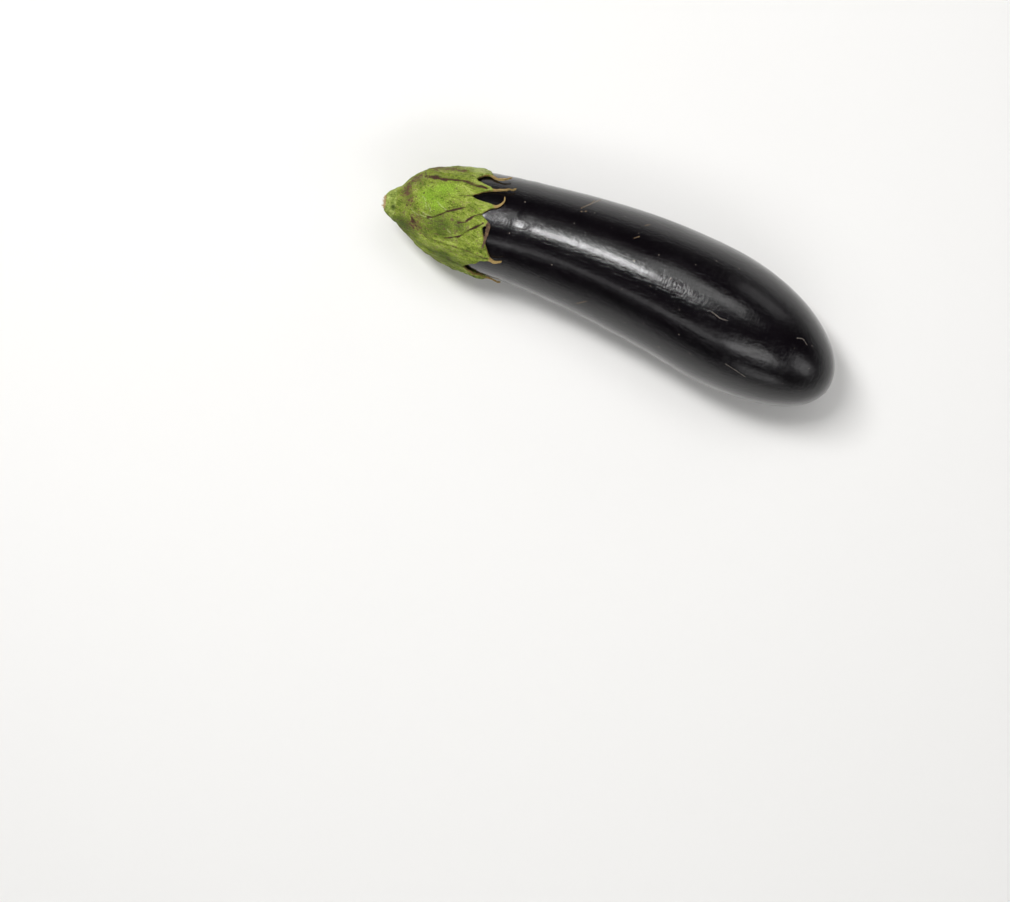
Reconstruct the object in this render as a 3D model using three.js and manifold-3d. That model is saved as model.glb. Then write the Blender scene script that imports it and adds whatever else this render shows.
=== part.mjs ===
// An eggplant, as picked, lying on its side: a long club-shaped fruit on a gently bent axis, the lobed
// calyx that caps its stalk end, and the short cut stub of the stalk.
// Millimetres and degrees. +X runs from the stalk to the blossom end, +Y is the side that the bend
// bows towards, and +Z is up. The origin is on the resting surface, under the middle of the object.
import * as THREE from "three";
import { mergeVertices } from "three/addons/utils/BufferGeometryUtils.js";
import Module from "manifold-3d";

// The bent axis that runs through the stalk, the calyx and the fruit.
const BEND_RADIUS = 355; // of the arc that the axis follows, seen from above
const STALK_RISE = 10; // how far the axis climbs from the belly to the stalk's cut end
const RISE_LENGTH = 100; // the length that it climbs over, from the cut end

// The fruit.
const FRUIT_LENGTH = 185;
const NECK_RADIUS = 18.8;
const BELLY_RADIUS = 26.9;
const BELLY_TO_TIP = 44; // from the thickest part to the blossom end
const SHOULDER_LENGTH = 32; // the tapering dome that the calyx covers
const SHOULDER_POWER = 2; // 2 makes the dome an ellipse, and more makes it squarer
const BLOSSOM_LENGTH = 59; // the rounded blossom end
const BLOSSOM_POWER = 2.2;
const REST_DEPTH = 0.8; // how deep the spot that it rests on is flattened

// The calyx.
const COLLAR_RADIUS = 6.3; // where it meets the stalk
const CUP_THICKNESS = 1.9;
const SEPAL_THICKNESS = 1.1; // at the edge of the lobes
const CUP_LENGTH = 30.5; // from the collar to the notches between the lobes
const CUP_POWER = 1.6; // less than 2 makes the dome leaner than an ellipse
const LOBE_LENGTH = 13; // from a notch to a lobe's tip
const LOBE_POWER = 1.3; // more than 1 makes a lobe's edges concave
const LOBE_SPANS = [44, 30, 31, 38, 50, 55, 55, 57]; // degrees round the axis, adding up to 360
const FIRST_LOBE_ANGLE = -98; // where the first lobe starts, from straight up, negative towards +Y
const SOCKET_DEPTH = 2.9; // the flesh on the axis, between the stalk and the fruit

// The stalk, cut short.
const STALK_LENGTH = 5.6;
const STALK_CUT_RADIUS = 4.2;
const STALK_CUT_BEVEL = 0.6; // the rounded rim of the cut face
const STALK_SWELL = 0.75; // how much of its widening is done halfway along

const FIT_GAP = 0.3; // between one piece and the next

// How finely the round pieces are divided.
const FRUIT_SIDES = 48;
const FRUIT_ROWS = 56;
const LOBE_STEPS = 8; // across each lobe
const CALYX_ROWS = 14; // along each of its two faces
const STALK_SIDES = 32;

// Stations: distances along the axis, from the stalk's cut end.
const calyxStart = STALK_LENGTH + FIT_GAP;
const notchStation = calyxStart + CUP_LENGTH;
const fruitStart = calyxStart + SOCKET_DEPTH + FIT_GAP;
const shoulderEnd = fruitStart + SHOULDER_LENGTH;
const fruitEnd = fruitStart + FRUIT_LENGTH;
const blossomStart = fruitEnd - BLOSSOM_LENGTH;
const bellyStation = fruitEnd - BELLY_TO_TIP;

// The radius of the fruit's body without its rounded ends: a slim neck that swells into the belly.
function bodyRadius(station) {
  const swell = THREE.MathUtils.smoothstep(station, calyxStart, bellyStation);
  return THREE.MathUtils.lerp(NECK_RADIUS, BELLY_RADIUS, swell);
}

// A rounded end's outline: 1 where it starts, falling to 0 at the pole, where the share is 1.
function roundedEnd(share, power, root = 2) {
  return (1 - THREE.MathUtils.clamp(share, 0, 1) ** power) ** (1 / root);
}

function fruitRadius(station) {
  const shoulder = roundedEnd((shoulderEnd - station) / SHOULDER_LENGTH, SHOULDER_POWER);
  const blossom = roundedEnd((station - blossomStart) / BLOSSOM_LENGTH, BLOSSOM_POWER);
  return bodyRadius(station) * shoulder * blossom;
}

// The axis is an arc seen from above. It runs as high as the body is thick, so that the underside lies
// straight on the resting surface, and it climbs towards the stalk.
function axisPoint(station) {
  const halfBend = fruitEnd / BEND_RADIUS / 2;
  const heading = halfBend - station / BEND_RADIUS;
  const climb = Math.max(0, 1 - station / RISE_LENGTH);
  return new THREE.Vector3(
    BEND_RADIUS * (Math.sin(halfBend) - Math.sin(heading)),
    BEND_RADIUS * (Math.cos(heading) - Math.cos(halfBend)),
    bodyRadius(station) + STALK_RISE * climb ** 2,
  );
}

// Moves a shape lathed round +Y onto the bent axis: its X to the axis's right, and its Z upwards.
function bend(geometry) {
  const place = geometry.getAttribute("position");
  const up = new THREE.Vector3(0, 0, 1);
  const halfStep = 0.5;
  for (let i = 0; i < place.count; i++) {
    const station = place.getY(i);
    const along = axisPoint(station + halfStep).sub(axisPoint(station - halfStep)).normalize();
    const right = new THREE.Vector3().crossVectors(along, up).normalize();
    const above = new THREE.Vector3().crossVectors(right, along);
    const point = axisPoint(station).addScaledVector(right, place.getX(i));
    point.addScaledVector(above, place.getZ(i));
    place.setXYZ(i, point.x, point.y, point.z);
  }
  return geometry;
}

// A closed shape lathed round +Y through the given angles. sectionAt(angle) gives its outline, from
// pole to pole, which may change from one angle to the next. The slivers at the poles are left out.
function lathe(sectionAt, angles) {
  const geometry = new THREE.LatheGeometry(sectionAt(angles[0]), angles.length);
  const place = geometry.getAttribute("position");
  let vertex = 0;
  for (let column = 0; column <= angles.length; column++) {
    const angle = angles[column % angles.length];
    for (const { x: radius, y: station } of sectionAt(angle)) {
      place.setXYZ(vertex++, radius * Math.sin(angle), station, radius * Math.cos(angle));
    }
  }
  geometry.deleteAttribute("normal");
  geometry.deleteAttribute("uv");
  const merged = mergeVertices(geometry);
  const corners = merged.getIndex().array;
  const kept = [];
  for (let i = 0; i < corners.length; i += 3) {
    const [a, b, c] = corners.slice(i, i + 3);
    if (a !== b && b !== c && c !== a) kept.push(a, b, c);
  }
  return merged.setIndex(kept);
}

function evenAngles(count) {
  return Array.from({ length: count }, (_, i) => (i / count) * 2 * Math.PI);
}

// Shares from 0 to 1 that crowd towards 0, or towards both ends.
function crowdedStart(count) {
  return Array.from({ length: count + 1 }, (_, i) => 1 - Math.cos((i / count) * (Math.PI / 2)));
}
function crowdedEnds(count) {
  return Array.from({ length: count + 1 }, (_, i) => (1 - Math.cos((i / count) * Math.PI)) / 2);
}

function fruitGeometry() {
  const section = crowdedEnds(FRUIT_ROWS).map((share) => {
    const station = fruitStart + share * FRUIT_LENGTH;
    return new THREE.Vector2(fruitRadius(station), station);
  });
  section[0].x = 0;
  section[FRUIT_ROWS].x = 0;
  return bend(lathe(() => section, evenAngles(FRUIT_SIDES)));
}

// The station of the calyx's edge at an angle: deepest in the notches, and a point on every lobe.
function calyxEdge(angle) {
  let turned = (THREE.MathUtils.radToDeg(angle) - FIRST_LOBE_ANGLE + 720) % 360;
  let lobe = 0;
  while (turned > LOBE_SPANS[lobe]) {
    turned -= LOBE_SPANS[lobe];
    lobe = (lobe + 1) % LOBE_SPANS.length;
  }
  const offCentre = Math.abs((2 * turned) / LOBE_SPANS[lobe] - 1);
  return notchStation + LOBE_LENGTH * (1 - offCentre) ** LOBE_POWER;
}

// The angles through the calyx's lobes, the same number across each.
function lobeAngles() {
  const angles = [];
  let start = FIRST_LOBE_ANGLE;
  for (const span of LOBE_SPANS) {
    for (let step = 0; step < LOBE_STEPS; step++) {
      angles.push(THREE.MathUtils.degToRad(start + (span * step) / LOBE_STEPS));
    }
    start += span;
  }
  return angles;
}

// The calyx's outer face: a dome from the collar that ends a sepal's thickness off the fruit.
function calyxRadius(station, share) {
  const thickness = THREE.MathUtils.lerp(CUP_THICKNESS, SEPAL_THICKNESS, share);
  const dome = roundedEnd((shoulderEnd - station) / (shoulderEnd - calyxStart), CUP_POWER, CUP_POWER);
  return THREE.MathUtils.lerp(COLLAR_RADIUS, bodyRadius(station) + FIT_GAP + thickness, dome);
}

// The point that lies off the fruit's skin by the fit gap, straight out from it.
function offFruit(station) {
  const step = 0.01;
  const here = new THREE.Vector2(fruitRadius(station), station);
  const slope = new THREE.Vector2(fruitRadius(station + step), station + step).sub(here).normalize();
  return here.add(new THREE.Vector2(slope.y, -slope.x).multiplyScalar(FIT_GAP));
}

function calyxGeometry() {
  const shares = crowdedStart(CALYX_ROWS);
  const sectionAt = (angle) => {
    const edge = calyxEdge(angle);
    const outside = shares.map((share) => {
      const station = THREE.MathUtils.lerp(calyxStart, edge, share);
      return new THREE.Vector2(calyxRadius(station, share), station);
    });
    const inside = shares.map((share) => offFruit(THREE.MathUtils.lerp(fruitStart, edge, share)));
    inside[0].x = 0;
    return [new THREE.Vector2(0, calyxStart), ...outside, ...inside.reverse()];
  };
  return bend(lathe(sectionAt, lobeAngles()));
}

// A stub that swells from the cut face to the calyx's collar.
function stalkGeometry() {
  const section = [
    [0, 0],
    [STALK_CUT_RADIUS - STALK_CUT_BEVEL, 0],
    [STALK_CUT_RADIUS, STALK_CUT_BEVEL],
    [THREE.MathUtils.lerp(STALK_CUT_RADIUS, COLLAR_RADIUS, STALK_SWELL), STALK_LENGTH / 2],
    [COLLAR_RADIUS, STALK_LENGTH],
    [0, STALK_LENGTH],
  ].map(([radius, station]) => new THREE.Vector2(radius, station));
  return bend(lathe(() => section, evenAngles(STALK_SIDES)));
}

const wasm = await Module();
wasm.setup();

function toSolid(geometry) {
  const vertProperties = geometry.getAttribute("position").array;
  const triVerts = new Uint32Array(geometry.getIndex().array);
  return new wasm.Manifold(new wasm.Mesh({ numProp: 3, vertProperties, triVerts }));
}

function toGeometry(solid) {
  const { vertProperties, triVerts } = solid.getMesh();
  const geometry = new THREE.BufferGeometry();
  geometry.setAttribute("position", new THREE.BufferAttribute(vertProperties, 3));
  return geometry.setIndex(new THREE.BufferAttribute(triVerts, 1));
}

// Cuts the resting spot: everything below REST_DEPTH goes.
function flattenUnderside(geometry) {
  const below = new THREE.BoxGeometry(2 * fruitEnd, 2 * fruitEnd, fruitEnd);
  below.translate(fruitEnd / 2, 0, REST_DEPTH - fruitEnd / 2);
  below.deleteAttribute("normal");
  below.deleteAttribute("uv");
  return toGeometry(toSolid(geometry).subtract(toSolid(mergeVertices(below))));
}

const skinMaterial = new THREE.MeshStandardMaterial({ color: "#17101b", roughness: 0.28, metalness: 0 });
const calyxMaterial = new THREE.MeshStandardMaterial({ color: "#7f8f3c", roughness: 0.8, metalness: 0 });
const stalkMaterial = new THREE.MeshStandardMaterial({ color: "#93995a", roughness: 0.85, metalness: 0 });

function piece(name, geometry, material) {
  geometry.computeVertexNormals();
  const mesh = new THREE.Mesh(geometry, material);
  mesh.name = name;
  return mesh;
}

const eggplant = new THREE.Group();
eggplant.add(
  piece("fruit", flattenUnderside(fruitGeometry()), skinMaterial),
  piece("calyx", calyxGeometry(), calyxMaterial),
  piece("stalk", stalkGeometry(), stalkMaterial),
);

// Brings the origin under the middle of the whole object.
const bounds = new THREE.Box3().setFromObject(eggplant);
const middle = bounds.getCenter(new THREE.Vector3());
eggplant.position.set(-middle.x, -middle.y, -bounds.min.z);

export default eggplant;
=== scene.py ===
# %% [markdown]
# # An eggplant, as picked
# A long club-shaped fruit with a waxy, nearly black skin, a leathery green calyx with eight pointed
# sepals, and the short cut stub of its stalk. It lies on its side on a pale floor.
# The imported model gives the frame: the size, the place and the way up. Everything made here fits in it.

# %% Load the frame
import math

import bpy
import numpy as np
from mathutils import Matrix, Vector, noise


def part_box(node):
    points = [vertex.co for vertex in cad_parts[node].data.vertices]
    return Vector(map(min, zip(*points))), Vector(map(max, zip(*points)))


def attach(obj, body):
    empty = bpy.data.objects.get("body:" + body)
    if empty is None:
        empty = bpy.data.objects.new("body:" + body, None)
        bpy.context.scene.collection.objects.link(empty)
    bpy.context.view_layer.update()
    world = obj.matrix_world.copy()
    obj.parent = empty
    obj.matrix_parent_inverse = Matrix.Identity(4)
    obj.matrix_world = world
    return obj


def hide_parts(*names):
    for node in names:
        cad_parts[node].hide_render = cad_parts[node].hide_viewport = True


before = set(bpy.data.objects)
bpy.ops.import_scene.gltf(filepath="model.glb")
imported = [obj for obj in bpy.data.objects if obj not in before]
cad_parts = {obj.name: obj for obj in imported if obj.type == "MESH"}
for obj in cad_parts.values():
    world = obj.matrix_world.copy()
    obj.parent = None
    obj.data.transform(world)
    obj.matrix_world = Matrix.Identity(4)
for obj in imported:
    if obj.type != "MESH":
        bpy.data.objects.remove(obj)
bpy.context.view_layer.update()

# %% [markdown]
# ## The sizes
# Every piece of the plant follows one bent axis, from the stalk's cut end to the blossom end. A place on
# it is a station, a distance along the axis. The same few sizes shape the fruit, and place the calyx and
# the marks on its skin, so they are named once, in millimetres.

# %% The sizes, in millimetres
MM = 0.001
BEND_RADIUS = 355
STALK_RISE = 10
RISE_LENGTH = 100
NECK_RADIUS = 18.8
BELLY_RADIUS = 26.9
REST_DEPTH = 0.8
FIT_GAP = 0.3
COLLAR_RADIUS = 6.3
CUP_POWER = 1.6
SHOULDER_POWER = 2
BLOSSOM_POWER = 2.2

CALYX_START = 5.9
FRUIT_START = 9.1
SHOULDER_END = 41.1
BLOSSOM_START = 135.1
BELLY_STATION = 150.1
FRUIT_END = 194.1
HALF_BEND = FRUIT_END / BEND_RADIUS / 2

# %% [markdown]
# ## The rule that the shape follows
# These functions give the axis, the radius at a station, and a point at any angle round the axis. The
# angle is measured from straight up, towards the side that the fruit bows to. They work on whole arrays.

# %% The axis and the radius
def share_of(value, start, end):
    """How far value has come from start to end, from 0 to 1."""
    return np.clip((value - start) / (end - start), 0, 1)


def smooth_step(value, start, end):
    share = share_of(value, start, end)
    return share * share * (3 - 2 * share)


def body_radius(station):
    return NECK_RADIUS + (BELLY_RADIUS - NECK_RADIUS) * smooth_step(station, CALYX_START, BELLY_STATION)


def rounded_end(share, power, root=2):
    return (1 - share ** power) ** (1 / root)


def fruit_radius(station):
    shoulder = rounded_end(share_of(station, SHOULDER_END, FRUIT_START), SHOULDER_POWER)
    blossom = rounded_end(share_of(station, BLOSSOM_START, FRUIT_END), BLOSSOM_POWER)
    return body_radius(station) * shoulder * blossom


def axis_height(station):
    climb = 1 - share_of(station, 0, RISE_LENGTH)
    return body_radius(station) + STALK_RISE * climb ** 2


def off_axis(station, angle, radius):
    """Points in mm at a radius from the axis, at an angle in radians from straight up."""
    station, angle, radius = np.broadcast_arrays(station, angle, radius)
    heading = HALF_BEND - station / BEND_RADIUS
    slope = axis_height(station + 0.5) - axis_height(station - 0.5)
    centre = np.stack([
        BEND_RADIUS * (math.sin(HALF_BEND) - np.sin(heading)),
        BEND_RADIUS * (np.cos(heading) - math.cos(HALF_BEND)),
        axis_height(station),
    ], axis=-1)
    aside = np.stack([-np.sin(heading), np.cos(heading), np.zeros_like(heading)], axis=-1)
    above = np.stack([-slope * np.cos(heading), -slope * np.sin(heading), np.ones_like(heading)], axis=-1)
    above /= np.linalg.norm(above, axis=-1, keepdims=True)
    reach = radius[..., None]
    return centre + aside * reach * np.sin(angle)[..., None] + above * reach * np.cos(angle)[..., None]


# %% Find the axis's place in the frame
stations, angles = np.meshgrid(np.linspace(FRUIT_START, FRUIT_END, 1200), np.linspace(-np.pi, np.pi, 181))
rule_points = off_axis(stations, angles, fruit_radius(stations)).reshape(-1, 3)
fruit_low, fruit_high = (np.array(corner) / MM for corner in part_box("fruit"))
SHIFT = (fruit_low + fruit_high - rule_points.min(0) - rule_points.max(0)) / 2
SHIFT[2] = fruit_low[2] - REST_DEPTH
print("The axis starts at", SHIFT.round(2), "mm, and the rule's fruit differs from the frame's by",
      (np.ptp(rule_points, axis=0) - (fruit_high - fruit_low)).round(2), "mm")


def in_frame(station, angle, radius):
    """The same points, in metres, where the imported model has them."""
    return (off_axis(station, angle, radius) + SHIFT) * MM


# %% [markdown]
# ## Helpers for nodes
# A node tree, whether it makes a shape or a finish, is a list of nodes with settings and links. One small
# function adds a node: a value in its inputs can be a number, or another node, whose first output is used.
# The short functions after it add the nodes that come back most often.

# %% Add a node, and run a tree
VECTOR_MATH = "ShaderNodeVectorMath"
SOCKET_KINDS = {int: "Int", float: "Float", np.ndarray: "Vector", bpy.types.Object: "Object",
                bpy.types.Material: "Material"}


def add(tree, kind, settings=None, inputs=None):
    """Adds a node to a tree, sets its properties, and fills or links its inputs."""
    node = tree.nodes.new(kind)
    for name, value in (settings or {}).items():
        setattr(node, name, value)
    for key, value in (inputs or {}).items():
        if isinstance(value, bpy.types.Node):
            value = value.outputs[0]
        if isinstance(value, bpy.types.NodeSocket):
            tree.links.new(value, node.inputs[key])
        else:
            node.inputs[key].default_value = value
    return node


def calculate(tree, operation, *values):
    return add(tree, "ShaderNodeMath", {"operation": operation}, dict(enumerate(values)))


def rescale(tree, value, start, end, low=0.0, high=1.0, **settings):
    """What goes from start to end comes out going from low to high."""
    return add(tree, "ShaderNodeMapRange", settings, {
        "Value": value, "From Min": start, "From Max": end, "To Min": low, "To Max": high})


def move(tree, geometry, **where):
    return add(tree, "GeometryNodeSetPosition", {}, {"Geometry": geometry, **where})


def vector(tree, x, y, z):
    return add(tree, "ShaderNodeCombineXYZ", {}, {0: x, 1: y, 2: z})


def random_from(tree, low, high, seed):
    return add(tree, "FunctionNodeRandomValue", {}, {2: low, 3: high, "Seed": seed}).outputs[1]


def shape_tree(name, inputs):
    """A new Geometry Nodes tree with its input sockets. Each is named, with its value or its kind."""
    tree = bpy.data.node_groups.new(name, "GeometryNodeTree")
    tree.interface.new_socket("Geometry", in_out="OUTPUT", socket_type="NodeSocketGeometry")
    for label, value in inputs.items():
        kind = value if isinstance(value, str) else SOCKET_KINDS[type(value)]
        tree.interface.new_socket(label, in_out="INPUT", socket_type="NodeSocket" + kind)
    return tree, tree.nodes.new("NodeGroupInput").outputs


def end_tree(tree, geometry, material):
    """Ends a tree as plain geometry with its material."""
    real = add(tree, "GeometryNodeRealizeInstances", inputs={"Geometry": geometry})
    painted = add(tree, "GeometryNodeSetMaterial", inputs={"Geometry": real, "Material": material})
    add(tree, "NodeGroupOutput", inputs={"Geometry": painted})


def put(name, data):
    """A new object in the scene with this data."""
    thing = bpy.data.objects.new(name, data)
    bpy.context.scene.collection.objects.link(thing)
    return thing


def grow(name, tree, values, source=None):
    """Runs a tree, on a source's data if it is given, and keeps the result as a plain mesh piece."""
    carrier = put(name + "_carrier", source or bpy.data.meshes.new(name + "_empty"))
    modifier = carrier.modifiers.new(tree.name, "NODES")
    modifier.node_group = tree
    for item in tree.interface.items_tree:
        if item.in_out == "INPUT" and item.name in values:
            modifier[item.identifier] = values[item.name]
    graph = bpy.context.evaluated_depsgraph_get()
    mesh = bpy.data.meshes.new_from_object(carrier.evaluated_get(graph), depsgraph=graph)
    mesh.name = name
    carrier.modifiers.remove(modifier)
    bpy.data.objects.remove(carrier)
    return show(name, mesh)


def show(name, mesh):
    """Puts a mesh in the scene as a piece, and says how big it is and whether it is closed."""
    piece = put(name, mesh)
    mesh.calc_loop_triangles()
    places = np.empty(len(mesh.vertices) * 3)
    mesh.vertices.foreach_get("co", places)
    places = places.reshape(-1, 3) / MM
    corners = np.empty(len(mesh.loop_triangles) * 3, np.int32)
    mesh.loop_triangles.foreach_get("vertices", corners)
    first, second, third = places[corners.reshape(-1, 3)].transpose(1, 0, 2)
    volume = (np.cross(first, second) * third).sum() / 6000
    sides = np.empty(len(mesh.loops), np.int32)
    mesh.loops.foreach_get("edge_index", sides)
    open_edges = (np.bincount(sides, minlength=len(mesh.edges)) != 2).sum()
    print(f"{name}: {len(first)} triangles, {volume:.3f} cubic cm, {np.ptp(places, axis=0).round(1)} mm, "
          f"lowest point {places[:, 2].min():.2f} mm, open edges {open_edges}")
    return piece


def hand_in(piece, slot, *nodes):
    """The piece rides on the one body, and may stand for a frame node. The slot it is given is not used."""
    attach(piece, "root")
    if nodes:
        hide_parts(*nodes)


# %% Colours and finishes
def linear(hex_colour):
    """An sRGB hex colour as the linear red, green, blue and alpha that the shaders take."""
    channels = [int(hex_colour[place:place + 2], 16) / 255 for place in (1, 3, 5)]
    return [c / 12.92 if c <= 0.04045 else ((c + 0.055) / 1.055) ** 2.4 for c in channels] + [1.0]


def new_finish(name, **sockets):
    """A material whose surface shader has these values. Returns it, its tree and the shader."""
    material = bpy.data.materials.new(name)
    material.use_nodes = True
    shader = material.node_tree.nodes["Principled BSDF"]
    for label, value in sockets.items():
        shader.inputs[label.replace("_", " ")].default_value = value
    return material, material.node_tree, shader


def millimetre_pattern(tree, size):
    """Object coordinates scaled so that one unit of a pattern is size (x, y, z) in millimetres."""
    place = add(tree, "ShaderNodeTexCoord")
    return add(tree, "ShaderNodeMapping", {}, {
        "Vector": place.outputs["Object"],
        "Scale": [1 / (axis_size * MM) for axis_size in size],
    })


def noise_pattern(tree, size, detail, **more):
    """Noise whose lumps are size (x, y, z) in millimetres."""
    return add(tree, "ShaderNodeTexNoise", {}, {
        "Vector": millimetre_pattern(tree, size), "Scale": 1.0, "Detail": detail, **more})


def mix(tree, share, first, second, way="MIX"):
    """A colour between two others, or one of them tinted by the other."""
    return add(tree, "ShaderNodeMix", {"data_type": "RGBA", "blend_type": way}, {
        "Factor": share, 6: first, 7: second}).outputs[2]


def emboss(tree, shader, height, depth):
    """Raises the surface's shading by a height, up to a depth in mm."""
    relief = add(tree, "ShaderNodeBump", {}, {"Strength": 1.0, "Distance": depth * MM, "Height": height})
    tree.links.new(relief.outputs[0], shader.inputs["Normal"])


def two_tone_finish(name, size, detail, dark, light, **sockets):
    """A finish whose colour wanders between two, in lumps of a size in millimetres."""
    material, tree, shader = new_finish(name, **sockets)
    colour = mix(tree, noise_pattern(tree, size, detail), linear(dark), linear(light))
    tree.links.new(colour, shader.inputs["Base Color"])
    return material, tree, shader


# %% [markdown]
# ## The skin's finish
# An eggplant's skin is a thin sheet packed with purple pigment under a film of natural wax. The pigment
# makes it almost black, and the wax gives it a wet gloss with sharp reflections at the edges. Close up,
# the wax has fine wrinkles that break a highlight into streaks, and it is duller in patches. So the colour
# stays dark, and the detail is in the roughness and in a fine bump. The real wrinkles are finer than would
# show, so they are drawn 1 to 5 mm apart.

# %% Skin finish
skin, tree, shader = two_tone_finish(
    "waxy_eggplant_skin", (30, 18, 18), 3.0, "#040304", "#0c080d",
    Coat_Weight=0.3, Coat_Roughness=0.1, Coat_IOR=1.4, IOR=1.45)
dullness = rescale(tree, noise_pattern(tree, (14, 7, 7), 5.0), 0.3, 0.7, 0.14, 0.24)
tree.links.new(dullness.outputs[0], shader.inputs["Roughness"])
across = noise_pattern(tree, (1.1, 4.5, 4.5), 3.0, Distortion=1.5)
lengthwise = noise_pattern(tree, (4.5, 1.2, 1.2), 3.0, Distortion=1.5)
wrinkles = calculate(tree, "ADD", across, lengthwise)
emboss(tree, shader, wrinkles, 0.09)
print("A coat of wax over two darks,", len(tree.nodes), "nodes")

# %% [markdown]
# ## The fruit
# The fruit follows one rule: a circle swept along the bent axis, whose size comes from the station. Geometry
# Nodes state that rule once, with the sizes as named inputs. A line gets its points moved onto the axis,
# a circle is swept along it, with a faint ripple where the skin puckers at the calyx, and the skin gets the
# slight swells that a grown thing has. What would be under the floor is pressed flat, which makes the
# small spot that it rests on.

# %% Grow the fruit
SCAR_STATION, SCAR_ANGLE = 193.6, math.pi
scar_centre = off_axis(SCAR_STATION, SCAR_ANGLE, fruit_radius(SCAR_STATION)) * MM
fruit_sizes = {
    "Rows": 300, "Sides": 232, "Bend radius": BEND_RADIUS * MM, "Half bend": HALF_BEND,
    "Stalk rise": STALK_RISE * MM, "Rise length": RISE_LENGTH * MM, "Neck radius": NECK_RADIUS * MM,
    "Belly radius": BELLY_RADIUS * MM, "Calyx start": CALYX_START * MM, "Belly station": BELLY_STATION * MM,
    "Fruit start": FRUIT_START * MM, "Shoulder end": SHOULDER_END * MM,
    "Shoulder power": float(SHOULDER_POWER), "Blossom start": BLOSSOM_START * MM,
    "Blossom power": BLOSSOM_POWER, "Fruit end": FRUIT_END * MM, "Swell height": 0.45 * MM,
    "Swell length": 26 * MM, "Scar centre": scar_centre, "Scar radius": 6 * MM, "Scar depth": 0.7 * MM,
    "Rest depth": REST_DEPTH * MM, "Shift": SHIFT * MM, "Ripple station": 54.2 * MM,
    "Ripple reach": 5 * MM, "Ripple length": 9 * MM, "Ripple height": 0.1 * MM, "Skin": skin}
tree, given = shape_tree("Club-shaped fruit", fruit_sizes)

index = add(tree, "GeometryNodeInputIndex")
last = calculate(tree, "SUBTRACT", given["Rows"], 1.0)
share = calculate(tree, "DIVIDE", index, last)
turn = calculate(tree, "MULTIPLY", share, math.pi)
crowded = calculate(tree, "COSINE", turn)
station = rescale(tree, crowded, 1.0, -1.0, given["Fruit start"], given["Fruit end"])

body = rescale(tree, station, given["Calyx start"], given["Belly station"], given["Neck radius"],
               given["Belly radius"], interpolation_type="SMOOTHSTEP")
climb = rescale(tree, station, 0.0, given["Rise length"], 1.0, 0.0)
climb_squared = calculate(tree, "MULTIPLY", climb, climb)
height = calculate(tree, "MULTIPLY_ADD", climb_squared, given["Stalk rise"], body)

turned = calculate(tree, "DIVIDE", station, given["Bend radius"])
heading = calculate(tree, "SUBTRACT", given["Half bend"], turned)
start_sine = calculate(tree, "SINE", given["Half bend"])
start_cosine = calculate(tree, "COSINE", given["Half bend"])
sine = calculate(tree, "SINE", heading)
cosine = calculate(tree, "COSINE", heading)
onward = calculate(tree, "SUBTRACT", start_sine, sine)
bowed = calculate(tree, "SUBTRACT", cosine, start_cosine)
along = calculate(tree, "MULTIPLY", onward, given["Bend radius"])
aside = calculate(tree, "MULTIPLY", bowed, given["Bend radius"])
on_axis = vector(tree, along, aside, height)

line = add(tree, "GeometryNodeCurvePrimitiveLine")
dense = add(tree, "GeometryNodeResampleCurve", {}, {"Curve": line, "Count": given["Rows"]})
axis = move(tree, dense, Position=on_axis)
upright = add(tree, "GeometryNodeSetCurveNormal", {"mode": "Z_UP"}, {"Curve": axis})


def rounded_end_nodes(start, end, power):
    """1 where the rounding starts, and 0 at the pole, before the square root is taken."""
    raised = calculate(tree, "POWER", rescale(tree, station, start, end), power)
    return calculate(tree, "SUBTRACT", 1.0, raised)


shoulder = rounded_end_nodes(given["Shoulder end"], given["Fruit start"], given["Shoulder power"])
blossom = rounded_end_nodes(given["Blossom start"], given["Fruit end"], given["Blossom power"])
both_ends = calculate(tree, "MULTIPLY", shoulder, blossom)
rounding = calculate(tree, "SQRT", both_ends)
round_body = calculate(tree, "MULTIPLY", rounding, body)

# The ripple is a wave along the fruit that fades on both sides of its station.
from_ripple = calculate(tree, "SUBTRACT", station, given["Ripple station"])
ripple_share = calculate(tree, "DIVIDE", from_ripple, given["Ripple reach"])
ripple_squared = calculate(tree, "MULTIPLY", ripple_share, ripple_share)
ripple_fall = calculate(tree, "POWER", math.exp(-1), ripple_squared)
waves = calculate(tree, "DIVIDE", from_ripple, given["Ripple length"])
wave = calculate(tree, "SINE", calculate(tree, "MULTIPLY", waves, math.tau))
fading_wave = calculate(tree, "MULTIPLY", wave, ripple_fall)
radius = calculate(tree, "MULTIPLY_ADD", fading_wave, given["Ripple height"], round_body)

circle = add(tree, "GeometryNodeCurvePrimitiveCircle", {}, {"Resolution": given["Sides"], "Radius": 1.0})
swept = add(tree, "GeometryNodeCurveToMesh", {}, {
    "Curve": upright, "Profile Curve": circle.outputs[0], "Scale": radius})
closed = add(tree, "GeometryNodeMergeByDistance", {}, {"Geometry": swept, "Distance": 0.002 * MM})

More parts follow.
